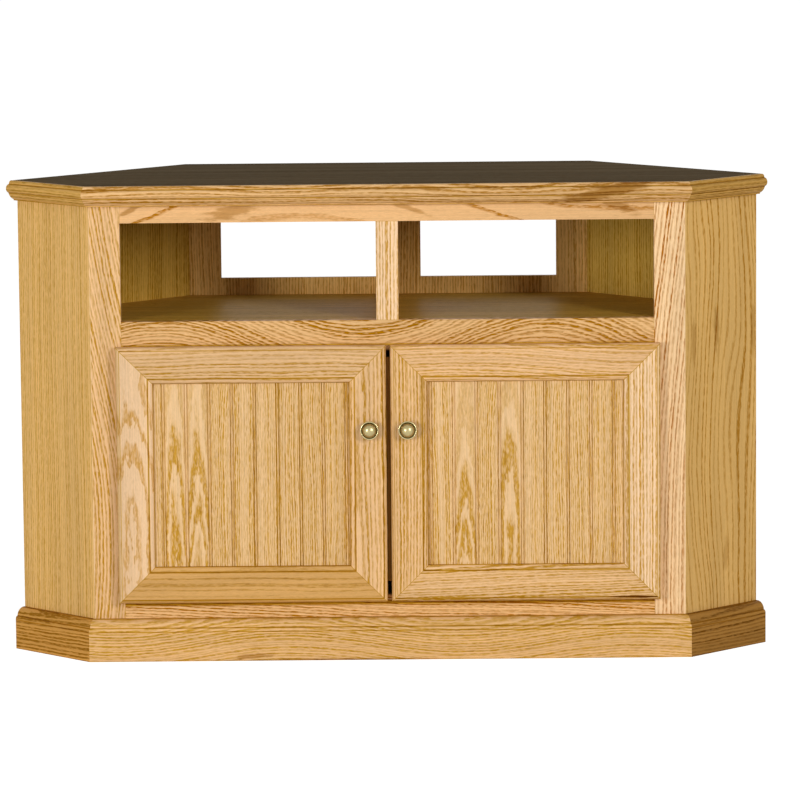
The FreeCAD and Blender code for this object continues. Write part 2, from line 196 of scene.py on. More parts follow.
# Metal and rubber
turning_scale = 4200.0
bloom_scale = (160.0, 160.0, 160.0)
bloom_limits = (0.35, 0.75)
zinc_roughness = 0.32
zinc_line_share = 0.12
zinc_line_depth = 0.00003
mottle_scale = (420.0, 420.0, 420.0)
mottle_reach = 0.003
brass_roughness = (0.40, 0.20)
brass_line_share = 0.08
brass_line_depth = 0.00002
# Painted highlight on the middle of the dome and on the front of the rim, and painted dark reflection on
# the dome's flanks
dome_highlight_limits = (0.0030, 0.0085)
dome_highlight_share = 0.15
dome_limits = (0.0110, 0.0132)
dome_share = 0.45
rim_highlight_radius = 0.0149
rim_highlight_half = 0.0016
rim_highlight_limits = (-0.0135, -0.0150)
rubber_scale = (900.0, 900.0, 900.0)
rubber_limits = (0.3, 0.7)
rubber_roughness = (0.45, 0.6)
rubber_depth = 0.00005

# Turned knobs: points are a radius and a rise from the foot
knob_segments = 64
foot_radius = 0.0088
foot_round = 0.0008
neck_middle = (0.0125, 0.0065)
neck_round = 0.0062
flare = ((0.0098, 0.0115), (0.0140, 0.0126))
rim_middle = (0.0148, 0.0140)
rim_round = 0.0012
groove = ((0.0135, 0.0124), (0.0128, 0.0124))
dome_radius = 0.0126
dome_start = 0.0130
dome_steps = 16

# Screws: where they sit on the hinges, and shares of a head's radius and rise
arm_thickness = 0.002
arm_half_height = 0.022
arm_screw_inset = 0.0055
arm_screw_step = 0.0145
cup_inset = 0.021
cup_screw_step = 0.0235
hinge_screw_radius = 0.003
knob_screw_radius = 0.004
screw_segments = 24
pan_rings = 6
pan_rise_share = 0.3
pan_wall_share = 0.4
pan_shoulder_shares = (0.92, 0.8)
pan_flat_share = 0.72
recess_half_share = 0.15
recess_reach_share = 0.55
recess_depth_share = 0.6


def srgb(red, green, blue):
    """Linear colour of three 8-bit shades."""
    def linear(shade):
        share = shade / 255
        return share / 12.92 if share <= 0.04045 else ((share + 0.055) / 1.055) ** 2.4
    return linear(red), linear(green), linear(blue), 1.0


Finish = namedtuple("Finish", "pale amber")
Gloss = namedtuple("Gloss", "specular coat")

# Finishes: pale late wood and amber early wood
honey = Finish(srgb(238, 195, 145), srgb(192, 140, 36))
deep_honey = Finish(srgb(240, 194, 135), srgb(174, 115, 0))
blush = Finish(srgb(248, 213, 173), srgb(202, 150, 56))
rosy = Finish(srgb(252, 215, 165), srgb(177, 106, 0))
lobed = Finish(srgb(245, 207, 163), srgb(212, 157, 72))
peach = Finish(srgb(244, 195, 137), srgb(184, 118, 0))
mild = Finish(srgb(242, 197, 148), srgb(206, 153, 64))
ribbed = Finish(srgb(249, 203, 143), srgb(182, 117, 0))
plain = Finish(srgb(238, 192, 136), srgb(200, 150, 46))
olive = Finish(srgb(215, 167, 102), srgb(193, 145, 70))
beaded = Finish(srgb(242, 203, 152), srgb(205, 153, 53))
# The right-hand wing, crown and base finishes are darker than their left-hand ones
left_wing_oak = Finish(srgb(238, 192, 122), srgb(210, 160, 72))
right_wing_oak = Finish(srgb(230, 184, 110), srgb(182, 126, 34))
left_crown_oak = Finish(srgb(228, 178, 98), srgb(192, 142, 50))
right_crown_oak = Finish(srgb(212, 164, 86), srgb(154, 106, 20))
nut = Finish(srgb(218, 160, 80), srgb(158, 106, 18))
dark_nut = Finish(srgb(176, 126, 58), srgb(108, 66, 0))
inside = Finish(srgb(220, 176, 82), srgb(178, 132, 30))
inside_light = Finish(srgb(214, 174, 84), srgb(176, 132, 34))
inside_back = Finish(srgb(244, 198, 122), srgb(200, 148, 66))
raw = Finish(srgb(226, 196, 148), srgb(190, 150, 96))
# The top's dark brown is painted shade and painted dark reflection on oak
top_oak_with_painted_shade = Finish(srgb(126, 111, 88), srgb(90, 77, 58))
gap_oak = Finish(srgb(158, 118, 54), srgb(126, 94, 38))

# Glosses: specular level and weight of the clear coat
satin = Gloss(0.04, 0.02)
matt = Gloss(0.02, 0.0)
dull = Gloss(0.0, 0.0)

# Other colours, and tints that multiply the wood below them
pore_brown = srgb(132, 78, 6)
# The pale of wear with a painted highlight on the stiles' outer edges
worn_highlight_oak = srgb(252, 222, 178)
ply_pale = srgb(226, 190, 132)
ply_dark = srgb(176, 132, 74)
zinc_bright = srgb(196, 197, 198)
zinc_dark = srgb(168, 168, 166)
# Brass: the bright colour paints the highlights, the dark one is patina in the groove and painted dark
# reflection on the dome's flanks
brass_highlight = srgb(212, 196, 148)
brass_patina_and_dark_reflection = srgb(134, 120, 68)
rubber_pale = srgb(222, 219, 208)
rubber_dark = srgb(190, 186, 172)
white = (1.0, 1.0, 1.0, 1.0)
# The first tint darkens joint lines and painted shade alike
dirt_and_shade_tint = (0.54, 0.42, 0.05, 1.0)
lacquer_tint = (1.0, 0.94, 0.25, 1.0)
smudge_tint = (0.50, 0.37, 0.12, 1.0)


def lighter(finish, share):
    """The same finish with more or less light in both of its colours."""
    return Finish(*(tuple(part * share for part in colour[:3]) + (1.0,) for colour in finish))


class Graph:
    """Adds nodes to one tree; an input is another node's output or a plain value."""

    # Sockets of a Mix node by number, because its number and colour sockets share their names
    mix_sockets = (0, 6, 7)
    mix_result = 2

    def __init__(self, tree):
        self.tree = tree

    def node(self, kind, inputs=(), **settings):
        node = self.tree.nodes.new(kind)
        for name, value in settings.items():
            setattr(node, name, value)
        for name, value in dict(inputs).items():
            self.feed(node.inputs[name], value)
        return node

    def feed(self, socket, value):
        if isinstance(value, bpy.types.NodeSocket):
            self.tree.links.new(value, socket)
        else:
            socket.default_value = value

    def calculate(self, operation, *values):
        return self.node("ShaderNodeMath", enumerate(values), operation=operation).outputs[0]

    def add(self, *values):
        return self.calculate("ADD", *values)

    def minus(self, *values):
        return self.calculate("SUBTRACT", *values)

    def times(self, *values):
        return self.calculate("MULTIPLY", *values)

    def over(self, *values):
        return self.calculate("DIVIDE", *values)

    def larger(self, *values):
        return self.calculate("MAXIMUM", *values)

    def absolute(self, value):
        return self.calculate("ABSOLUTE", value)

    def floor(self, value):
        return self.calculate("FLOOR", value)

    def fraction(self, value):
        return self.calculate("FRACT", value)

    def centred(self, share):
        """A share from 0 to 1 moved to lie about zero."""
        return self.minus(share, 0.5)

    def distance(self, first, second):
        """Length of a step whose two parts are at right angles."""
        return self.calculate("SQRT", self.add(self.times(first, first), self.times(second, second)))

    def stretch(self, place, scales):
        settings = {0: place, 1: scales}
        return self.node("ShaderNodeVectorMath", settings, operation="MULTIPLY").outputs[0]

    def shift(self, place, step):
        return self.node("ShaderNodeVectorMath", {0: place, 1: step}).outputs[0]

    def parts(self, place):
        return self.node("ShaderNodeSeparateXYZ", {0: place}).outputs

    def whole(self, x, y, z):
        return self.node("ShaderNodeCombineXYZ", {0: x, 1: y, 2: z}).outputs[0]

    def grey(self, value):
        return self.whole(value, value, value)

    def coordinates(self, kind="Object"):
        return self.node("ShaderNodeTexCoord").outputs[kind]

    def noise(self, place, detail=1.0, roughness=0.5):
        settings = {"Vector": place, "Scale": 1.0, "Detail": detail, "Roughness": roughness}
        return self.node("ShaderNodeTexNoise", settings).outputs

    def scaled_noise(self, place, scales, detail=1.0, roughness=0.5):
        """Noise of the given scales, from 0 to 1."""
        return self.noise(self.stretch(place, scales), detail, roughness)["Fac"]

    def step(self, value, start, end, low=0.0, high=1.0):
        """A smooth step from low to high while a value goes from start to end."""
        settings = {"Value": value, "From Min": start, "From Max": end, "To Min": low, "To Max": high}
        node = self.node("ShaderNodeMapRange", settings, interpolation_type="SMOOTHSTEP")
        return node.outputs["Result"]

    def near(self, value, at, half_width):
        """1 where a value is at a mark, fading to 0 half a width away."""
        return self.step(self.absolute(self.minus(value, at)), 0.0, half_width, 1.0, 0.0)

    def ramp(self, value, stops):
        """Shares given at a few values, with straight lines between them."""
        node = self.node("ShaderNodeValToRGB", {"Fac": value})
        elements = node.color_ramp.elements
        while len(elements) < len(stops):
            elements.new(1.0)
        for element, (position, share) in zip(elements, stops):
            element.position = position
            element.color = (share, share, share, 1.0)
        return node.outputs["Color"]

    def blend(self, share, first, second, blend_type="MIX"):
        node = self.node("ShaderNodeMix", data_type="RGBA", blend_type=blend_type)
        for socket, value in zip(self.mix_sockets, (share, first, second)):
            self.feed(node.inputs[socket], value)
        return node.outputs[self.mix_result]


def new_material(name):
    material = bpy.data.materials.new(name)
    material.use_nodes = True
    material.node_tree.nodes.clear()
    return material, Graph(material.node_tree)


def finish_material(g, base, roughness, height, depth, **sockets):
    """Principled shader with its bump; the other sockets get their own constant values."""
    bump = g.node("ShaderNodeBump", {"Strength": bump_strength, "Distance": depth, "Height": height})
    settings = {"Base Color": base, "Roughness": roughness, "Normal": bump.outputs["Normal"]}
    shader = g.node("ShaderNodeBsdfPrincipled", settings)
    for name, value in sockets.items():
        shader.inputs[name.replace("_", " ")].default_value = value
    g.node("ShaderNodeOutputMaterial", {"Surface": shader.outputs[0]})


# Figure of oak: growth rings round a pith that runs along the board, cut by the board's faces
figure_inputs = {
    "Pith across": 0.0, "Pith depth": 0.06, "Lean": 0.0, "Skew": 0.0, "Wave": 0.0, "Wave at": 0.0,
    "Wave length": 0.6, "Wander": 0.02, "Ring pitch": usual_ring_pitch, "Band": usual_ring_pitch,
    "Ragged": 0.0034, "Seed": 0.0,
}


def ring_years(g, given, drift):
    """Age of the wood, in years from the pith."""
    x, y, z = g.parts(given["Place"])
    slow = g.parts(g.noise(g.stretch(drift, sway_scale))["Color"])
    sway, heave = (g.times(g.centred(channel), given["Wander"]) for channel in slow[:2])
    turn = g.times(g.over(g.minus(x, given["Wave at"]), given["Wave length"]), 2 * math.pi)
    wave = g.times(g.times(given["Wave"], 0.5), g.minus(1.0, g.calculate("COSINE", turn)))
    across = g.add(g.minus(y, given["Pith across"]), g.add(sway, g.times(given["Skew"], x)))
    deep = g.add(given["Pith depth"], g.add(g.times(given["Lean"], x), g.minus(heave, z)))
    radius = g.distance(g.minus(across, wave), deep)
    ragged = g.scaled_noise(drift, ragged_scale, detail=2.0, roughness=0.6)
    radius = g.add(radius, g.times(g.centred(ragged), given["Ragged"]))
    radius = g.add(radius, g.times(g.centred(g.scaled_noise(drift, feather_scale)), feather_reach))
    years = g.over(radius, given["Ring pitch"])
    weather = g.noise(g.whole(g.times(years, weather_pace), given["Seed"], 0.0))["Fac"]
    return g.add(years, g.times(g.centred(weather), weather_reach))


def early_wood(g, given, years, drift):
    """High in the open early wood of each ring, and low in its dense late wood."""
    ring = g.floor(years)
    vigour = g.noise(g.whole(g.times(ring, vigour_pace), given["Seed"], vigour_row))["Fac"]
    narrowing = g.larger(g.over(given["Ring pitch"], given["Band"]), 1.0)
    season = g.calculate("MINIMUM", g.times(g.minus(years, ring), narrowing), 1.0)
    unbroken = g.step(g.scaled_noise(drift, break_scale), *break_limits, *break_shares)
    strength = g.times(g.step(vigour, *vigour_limits, *vigour_shares), unbroken)
    return g.times(g.ramp(season, season_shares), strength)


def wood_fibre(g, drift):
    """Long fibres with short speckles among them."""
    fibre = g.scaled_noise(drift, fibre_scale, detail=2.0, roughness=0.6)
    speckle = g.scaled_noise(drift, speckle_scale)
    return g.add(g.times(fibre, 1 - speckle_share), g.times(speckle, speckle_share))


def wood_pores(g, early, drift):
    """Long streaks and short flecks, mostly in the early wood."""
    streak = g.step(g.scaled_noise(drift, pore_scale), *streak_limits)
    fleck = g.step(g.scaled_noise(drift, fleck_scale), *fleck_limits)
    openness = g.add(late_pore_share, g.times(early, 1 - late_pore_share))
    return g.times(g.larger(g.times(streak, streak_share), fleck), openness)


def make_figure():
    tree = bpy.data.node_groups.new("oak figure", "ShaderNodeTree")
    tree.interface.new_socket("Place", in_out="INPUT", socket_type="NodeSocketVector")
    for name in figure_inputs:
        tree.interface.new_socket(name, in_out="INPUT", socket_type="NodeSocketFloat")
    g = Graph(tree)
    given = g.node("NodeGroupInput").outputs
    drift = g.shift(given["Place"], g.whole(*(g.times(given["Seed"], step) for step in seed_steps)))
    early = early_wood(g, given, ring_years(g, given, drift), drift)
    results = {
        "Early": early,
        "Pores": wood_pores(g, early, drift),
        "Fibre": wood_fibre(g, drift),
        "Cloud": g.scaled_noise(drift, cloud_scale, detail=2.0),
    }
    for name in results:
        tree.interface.new_socket(name, in_out="OUTPUT", socket_type="NodeSocketFloat")
    g.node("NodeGroupOutput", results)
    return tree


figure = make_figure()


def grain(g, place, own_cut):
    node = g.node("ShaderNodeGroup", node_tree=figure)
    for name, value in dict(figure_inputs, Place=place, **own_cut).items():
        g.feed(node.inputs[name], value)
    return node.outputs


# Styles of cut through the log
straight = {"Pith depth": 0.05}
fine = {"Pith depth": 0.10}
flat = {"Pith depth": 0.045}


def cut(style, seed, **changes):
    """A cut through the log: a style's inputs with this board's own changes."""
    named = {name.replace("_", " ").capitalize(): value for name, value in changes.items()}
    return dict(style, Seed=float(seed), **named)


Board = namedtuple("Board", "along across origin")


def middle_of(node):
    low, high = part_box(node)
    return (Vector(low) + Vector(high)) / 2


def half_size(node):
    """Half the sides of a node's box."""
    low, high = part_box(node)
    return (Vector(high) - Vector(low)) / 2


def board(node, along, across):
    """A board measured from its middle."""
    return Board(along, across, middle_of(node))


def edge_board(node, along, across):
    """A board measured from its outer edge, with the direction across it pointing inward."""
    reach = sum(abs(part * half) for part, half in zip(across, half_size(node)))
    return Board(along, across, middle_of(node) - across * reach)


def board_place(g, plank):
    """Object coordinates turned and moved so that X runs along the grain and Z into the board."""
    turn = Matrix((plank.along, plank.across, plank.along.cross(plank.across)))
    shift = -(turn @ plank.origin)
    settings = {"Vector": g.coordinates(), "Location": shift, "Rotation": turn.to_euler()}
    return g.node("ShaderNodeMapping", settings).outputs["Vector"]


# Marks: functions that give a board's dark marks, of grime and of painted shade, and its pale wear with a
# painted highlight, or None where it has none


def no_marks(g, x, y):
    return None, None


def worn_edge_highlight(g, x, y):
    """Wear and a painted highlight along the outer edge of a board."""
    return None, g.near(y, 0.0, arris_half)


def butt_marks(half_length):
    """Dark joint lines at the two ends of a board."""
    def marks(g, x, y):
        return g.times(g.near(g.absolute(x), half_length, joint_half), butt_share), None
    return marks


def door_shade_marks(height, half_width, strength, other):
    """Painted shade along the line of the doors' edges, and another kind of marks."""
    def marks(g, x, y):
        dark, wear_and_highlight = other(g, x, y)
        return g.larger(dark, g.times(g.near(y, height, half_width), strength)), wear_and_highlight
    return marks


def on_front(node, marks):
    """The same dark marks, but none on the back face of the node."""
    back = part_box(node)[1][1]

    def front(g, x, y):
        dark, wear_and_highlight = marks(g, x, y)
        depth = g.parts(g.coordinates())[1]
        return g.times(dark, g.step(depth, back - marked_back, back - clean_back, 1.0, 0.0)), wear_and_highlight
    return front


Edge = namedtuple("Edge", "shade line line_half")


def door_marks(half_length, edge):
    """Dark mitres and sticking of a door's frame, with the shade of its edge and of the step beside it."""
    def marks(g, x, y):
        end = g.minus(half_length, g.absolute(x))
        off_mitre = g.times(g.minus(end, y), math.sqrt(0.5))
        dark = g.times(g.near(off_mitre, 0.0, joint_half), mitre_share)
        for at in (door_frame_width - sticking_width, door_frame_width):
            dark = g.larger(dark, g.times(g.near(y, at, sticking_line_half), sticking_share))
        dark = g.larger(dark, g.times(g.near(y, door_edge_width, edge.line_half), edge.line))
        return g.larger(dark, g.step(y, door_edge_width / 2, door_edge_width, edge.shade, 0.0)), None
    return marks


def level_marks(*heights):
    """Dark lines at given heights of a moulding: painted shade under its overhangs and along its foot, and
    dark lines in its quirks and joints.
    """
    def marks(g, x, y):
        dark = 0.0
        for at in heights:
            dark = g.larger(dark, g.near(y, at, quirk_half))
        return g.times(dark, quirk_share), None
    return marks


def bead_marks(strength):
    """Dark quirks on both sides of every bead, some fainter; a bead's middle is at the origin."""
    def marks(g, x, y):
        turns = g.add(g.over(y, bead_pitch), 0.5)
        off_middle = g.times(g.absolute(g.centred(g.fraction(turns))), bead_pitch)
        chance = g.noise(g.whole(g.times(g.floor(turns), bead_chance_pace), 0.0, 0.0))["Fac"]
        share = g.step(chance, *bead_chance_limits, faint_bead_share * strength, strength)
        return g.times(g.near(off_middle, bead_half, bead_line_half), share), None
    return marks


Spot = namedtuple("Spot", "x y length width lean strength")


def smudged(g, base, x, y, spots):
    """Ragged dark smudges of grain and grime, and of painted shade on the right door's bottom rail; a spot
    leans by its rise across the board for each step along it.
    """
    if not spots:
        return base
    ragged = g.scaled_noise(g.whole(x, y, 0.0), smudge_scale, detail=3.0, roughness=0.6)
    for spot in spots:
        along = g.minus(x, spot.x)
        across = g.minus(g.minus(y, spot.y), g.times(along, spot.lean))
        reach = g.distance(g.over(along, spot.length), g.over(across, spot.width))
        reach = g.add(reach, g.times(g.centred(ragged), smudge_raggedness))
        share = g.step(reach, *smudge_limits, spot.strength, 0.0)
        base = g.blend(share, base, smudge_tint, "MULTIPLY")
    return base


def oak_colour(g, wood, finish, pores, clouds):
    """Pale late wood, amber early wood, dark pores, and soft clouds of tone."""
    lines = g.times(wood["Early"], g.step(wood["Fibre"], *amber_limits, *amber_shares))
    base = g.blend(lines, finish.pale, finish.amber)
    base = g.blend(g.times(wood["Pores"], pores), base, pore_brown)
    fibre = g.step(wood["Fibre"], *fibre_limits, *fibre_shares)
    cloud = g.step(wood["Cloud"], *cloud_limits, 1.0 + clouds, 1.0 - clouds)
    return g.blend(1.0, base, g.grey(g.times(fibre, cloud)), "MULTIPLY")


def marked(g, base, dark, wear_and_highlight):
    """Dark marks of grime and of painted shade, with a wider pool of amber lacquer round them, and pale
    edges of wear and painted highlight.
    """
    if dark is not None:
        base = g.blend(g.step(dark, *lacquer_limits), base, lacquer_tint, "MULTIPLY")
        base = g.blend(dark, base, dirt_and_shade_tint, "MULTIPLY")
    if wear_and_highlight is not None:
        base = g.blend(g.times(wear_and_highlight, worn_highlight_share), base, worn_highlight_oak)
    return base


def plywood(g, plank, base, z, bare):
    """Layers on the edges of a panel, and bare veneer on its outer face where that is given."""
    if bare is not None:
        base = g.blend(g.step(z, 0.0, ply_layer), base, bare)
    settings = {0: g.coordinates("Normal"), 1: plank.along.cross(plank.across)}
    facing = g.node("ShaderNodeVectorMath", settings, operation="DOT_PRODUCT").outputs["Value"]
    layer = g.step(g.fraction(g.over(z, ply_layer)), *ply_limits)
    edge = g.step(g.absolute(facing), *ply_edge_limits, 1.0, 0.0)
    return g.blend(edge, base, g.blend(layer, ply_pale, ply_dark))


def oak(name, plank, own_cut, finish, marks, spots, split=None, panel=False, bare_back=False,
        pores=usual_pores, clouds=usual_clouds, gloss=satin):
    """Lacquered oak; split may change the place and the cut, strip by strip."""
    material, g = new_material(name)
    place = board_place(g, plank)
    x, y, z = g.parts(place)
    if split is not None:
        place, own_cut = split(g, x, y, z, own_cut)
    wood = grain(g, place, own_cut)
    base = smudged(g, oak_colour(g, wood, finish, pores, clouds), x, y, spots)
    base = marked(g, base, *marks(g, x, y))
    if panel:
        bare = oak_colour(g, wood, raw, pores, clouds) if bare_back else None
        base = plywood(g, plank, base, z, bare)
    roughness = g.step(wood["Pores"], 0.0, 1.0, *oak_roughness)
    height = g.minus(1.0, g.add(wood["Pores"], g.times(wood["Early"], early_sink_share)))
    finish_material(g, base, roughness, height, pore_depth, Specular_IOR_Level=gloss.specular,
                    Coat_Weight=gloss.coat, Coat_Roughness=coat_roughness)
    return material


def dress(node, material):
    """Gives every slot of a CAD node's object this material."""
    for slot in nodes[node].material_slots:
        slot.material = material


def dress_oak(node, plank, own_cut, finish, marks=no_marks, spots=(), **look):
    """Gives a CAD node oak of its own, named after the node."""
    dress(node, oak(node, plank, own_cut, finish, marks, spots, **look))


def dress_face_frame():
    rail_ends = butt_marks(half_size("middle_rail").x)
    # Heights of the painted shade on the middle rail above the doors and on the bottom rail below them
    shade_above_doors = door_top - middle_of("middle_rail").z
    shade_below_doors = door_bottom - shade_below_door_drop - middle_of("bottom_rail").z
    dress_oak("left_stile", edge_board("left_stile", UP, RIGHT),
              cut(straight, 3, pith_across=0.21, skew=0.05, wave=-0.075, wave_at=-0.15, wave_length=1.3,
                  wander=0.018, ring_pitch=0.0058),
              lighter(honey, 1.03), worn_edge_highlight)
    dress_oak("right_stile", edge_board("right_stile", UP, -RIGHT),
              cut(straight, 7, pith_across=0.16, skew=0.075, wave=-0.038, wave_length=1.6, wander=0.012,
                  ring_pitch=0.0062),
              rosy, worn_edge_highlight)
    dress_oak("mullion", board("mullion", UP, RIGHT),
              cut(straight, 12, pith_across=0.15, wander=0.006, ring_pitch=0.0055),
              lighter(blush, 1.06), butt_marks(half_size("mullion").z))
    dress_oak("top_rail", board("top_rail", RIGHT, UP),
              cut(flat, 4, pith_across=0.2, wave=-0.13, wave_at=-0.12, wave_length=1.1, wander=0.07,
                  ring_pitch=0.05, band=0.011, ragged=0.008),
              lighter(peach, 0.95), rail_ends, (
                  Spot(-0.436, 0.0, 0.030, 0.0055, 0.5, 0.7),
                  Spot(-0.265, -0.004, 0.050, 0.014, 0.2, 0.65),
                  Spot(0.030, 0.002, 0.050, 0.0055, -0.35, 0.6),
                  Spot(0.388, 0.004, 0.045, 0.010, -0.4, 0.7),
              ))
    dress_oak("middle_rail", board("middle_rail", RIGHT, UP),
              cut(flat, 5, pith_across=0.14, pith_depth=0.03, wave=0.085, wave_at=-0.066, wave_length=0.67,
                  wander=0.05, ring_pitch=0.0058, ragged=0.007),
              lighter(deep_honey, 0.965),
              door_shade_marks(shade_above_doors, shade_above_door_half, shade_above_door_share, rail_ends))
    dress_oak("bottom_rail", board("bottom_rail", RIGHT, UP),
              cut(straight, 9, pith_across=0.14, skew=0.05, wander=0.015, ring_pitch=0.005),
              ribbed, door_shade_marks(shade_below_doors, shade_below_door_half, shade_below_door_share, rail_ends))


def dress_door(side, inward, looks, step_shade_spots=()):
    """Finishes of one door; inward points from its hinge edge to its lock edge."""
    name = side + "_door_"
    half_height = half_size(name + "hinge_stile").z
    half_width = half_size(name + "top_rail").x
    # Each row's Edge paints shade over the door's outer edge and a dark line at its step; the bottom rail's
    # line is strongest, as painted shade of a step facing down
    for member, along, across, half, edge in (
        ("hinge_stile", UP, inward, half_height, Edge(0.30, 0.6, crevice_half)),
        ("lock_stile", UP, -inward, half_height, Edge(0.25, 0.6, crevice_half)),
        ("top_rail", RIGHT, -UP, half_width, Edge(0.0, 0.7, crevice_half)),
        ("bottom_rail", RIGHT, UP, half_width, Edge(0.25, 1.0, shaded_line_half)),
    ):
        node = name + member
        own_cut, finish = looks[member]
        marks = on_front(node, door_marks(half, edge))
        spots = step_shade_spots if member == "bottom_rail" else ()
        dress_oak(node, edge_board(node, along, across), own_cut, finish, marks, spots)


def dress_left_door():
    dress_door("left", RIGHT, {
        "hinge_stile": (cut(flat, 21, pith_across=0.028, pith_depth=0.03, lean=0.06, wander=0.045,
                            ring_pitch=0.0095, ragged=0.009), lighter(lobed, 0.95)),
        "lock_stile": (cut(flat, 22, pith_across=0.05, pith_depth=0.02, lean=0.03, wander=0.035,
                           ring_pitch=0.0068, ragged=0.006), lighter(honey, 1.04)),
        "top_rail": (cut(straight, 23, pith_across=0.18, wander=0.03, ring_pitch=0.0062),
                     lighter(honey, 0.96)),
        "bottom_rail": (cut(straight, 24, pith_across=0.10, wander=0.02, ring_pitch=0.0085),
                        lighter(olive, 1.04)),
    })


def dress_right_door():
    dress_door("right", -RIGHT, {
        "hinge_stile": (cut(straight, 31, pith_across=0.20, wander=0.008, ring_pitch=0.0054),
                        lighter(blush, 1.06)),
        "lock_stile": (cut(straight, 32, pith_across=0.17, wander=0.014, ring_pitch=0.0056),
                       lighter(honey, 1.06)),
        "top_rail": (cut(straight, 33, pith_across=0.15, wave=0.015, wave_at=-0.1, wander=0.016,
                         ring_pitch=0.005), mild),
        "bottom_rail": (cut(straight, 34, pith_across=0.15, skew=-0.04, wander=0.012, ring_pitch=0.0044),
                        lighter(honey, 1.02)),
    }, (
        # Painted shade along the step of the bottom edge, near the door's right-hand end
        Spot(0.185, 0.0056, 0.060, 0.0024, 0.0, 1.0),
        Spot(0.195, 0.0056, 0.050, 0.0022, 0.0, 1.0),
    ))


def beadboard(flat_strips):
    """Splits a panel at its beads: each strip has its own piece of log, and some are cut flat."""
    def split(g, x, y, z, own_cut):
        strip = g.floor(g.over(y, bead_pitch))
        local = g.minus(y, g.times(g.add(strip, 0.5), bead_pitch))
        flat_share = g.larger(*(g.near(strip, number, 0.5) for number in flat_strips))
        straight_share = g.minus(1.0, flat_share)
        more_pitch = g.times(flat_share, flat_strip_pitch - straight_strip_pitch)
        more_seed = g.times(straight_share, straight_strip_seed - flat_strip_seed)
        changes = {
            "Pith across": g.times(straight_share, straight_strip_pith),
            "Lean": g.times(flat_share, flat_strip_lean),
            "Ring pitch": g.add(straight_strip_pitch, more_pitch),
            "Seed": g.add(own_cut["Seed"], g.times(strip, g.add(flat_strip_seed, more_seed))),
        }
        return g.whole(x, local, z), dict(own_cut, **changes)
    return split


def dress_panels():
    warm_side = (Spot(0.0, 0.11, 0.60, 0.09, 0.0, 0.07),)
    # The fifth column sets how dark the lines along the door's bead quirks are
    for side, inward, pith_depth, flat_strips, bead_line_strength, spots in (
        ("left", RIGHT, 0.0278, (-4, -3), 0.60, warm_side),
        ("right", -RIGHT, 0.03, (-3, -1), 0.42, ()),
    ):
        node = side + "_door_panel"
        panel = middle_of(node)
        door_middle = Vector((middle_of(side + "_door_top_rail").x, panel.y, panel.z))
        plank = Board(UP, RIGHT, door_middle + inward * bead_offset)
        own_cut = cut(flat, 45, pith_depth=pith_depth, wander=0.02, ragged=0.0045)
        dress_oak(node, plank, own_cut, beaded, on_front(node, bead_marks(bead_line_strength)), spots,
                  split=beadboard(flat_strips), clouds=bead_clouds)


def dress_moulding(node, along, lines, own_cut, finish, spots=()):
    """Finish of one length of moulding, measured from the floor."""
    foot = middle_of(node)
    foot.z = 0.0
    dress_oak(node, Board(along, UP, foot), own_cut, finish, lines, spots)


def dress_crown():
    # The lines under the nose and at the crown's bottom are painted shade under its overhang
    lines = level_marks(crown_nose_top, crown_nose_bottom, crown_bottom)
    dress_moulding("crown_front", RIGHT, lines,
                   cut(straight, 51, pith_across=0.92, wander=0.04, ring_pitch=0.0055), deep_honey,
                   (Spot(0.374, 0.804, 0.10, 0.012, 0.22, 0.9),))
    dress_moulding("crown_left", LEFT_WING, lines,
                   cut(fine, 52, pith_across=1.0, wander=0.016, ring_pitch=0.0045), left_crown_oak)
    dress_moulding("crown_right", RIGHT_WING, lines,
                   cut(fine, 53, pith_across=1.0, wander=0.016, ring_pitch=0.0045), right_crown_oak)


def dress_base():
    # The line at height 0.0 is painted shade where the base meets the floor; the others are dark lines in
    # its quirks and at its top
    lines = level_marks(0.0, base_flat_top, base_quirk_top, base_top)
    dress_moulding("base_front", RIGHT, lines,
                   cut(flat, 54, pith_across=0.15, wave=0.03, wave_at=0.13, wander=0.02, ring_pitch=0.005),
                   plain, (
                       Spot(-0.235, 0.008, 0.040, 0.005, 0.06, 0.7),
                       Spot(-0.08, 0.0, 0.20, 0.004, 0.0, 0.8),
                   ))
    dress_moulding("base_left", LEFT_WING, lines,
                   cut(straight, 55, pith_across=0.15, wander=0.03, ring_pitch=0.006), nut)
    dress_moulding("base_right", RIGHT_WING, lines,
                   cut(straight, 56, pith_across=0.15, wander=0.03, ring_pitch=0.006),
                   lighter(dark_nut, 0.94))


def dress_wings():
    dress_oak("left_wing_panel", board("left_wing_panel", UP, LEFT_WING),
              cut(fine, 61, pith_across=0.25, wander=0.006, ring_pitch=0.0046),
              left_wing_oak, panel=True, pores=wing_pores)
    dress_oak("right_wing_panel", board("right_wing_panel", UP, RIGHT_WING),
              cut(straight, 62, pith_across=0.2, wander=0.08, ring_pitch=0.011, band=0.0055, ragged=0.004),
              right_wing_oak, panel=True, pores=wing_pores, spots=(
                  Spot(0.140, -0.072, 0.045, 0.006, 0.0, 0.5),
                  Spot(0.160, -0.014, 0.045, 0.008, 0.0, 0.6),
                  Spot(0.150, 0.082, 0.060, 0.006, 0.0, 0.5),
                  Spot(-0.235, 0.010, 0.035, 0.008, 0.1, 0.4),
              ))


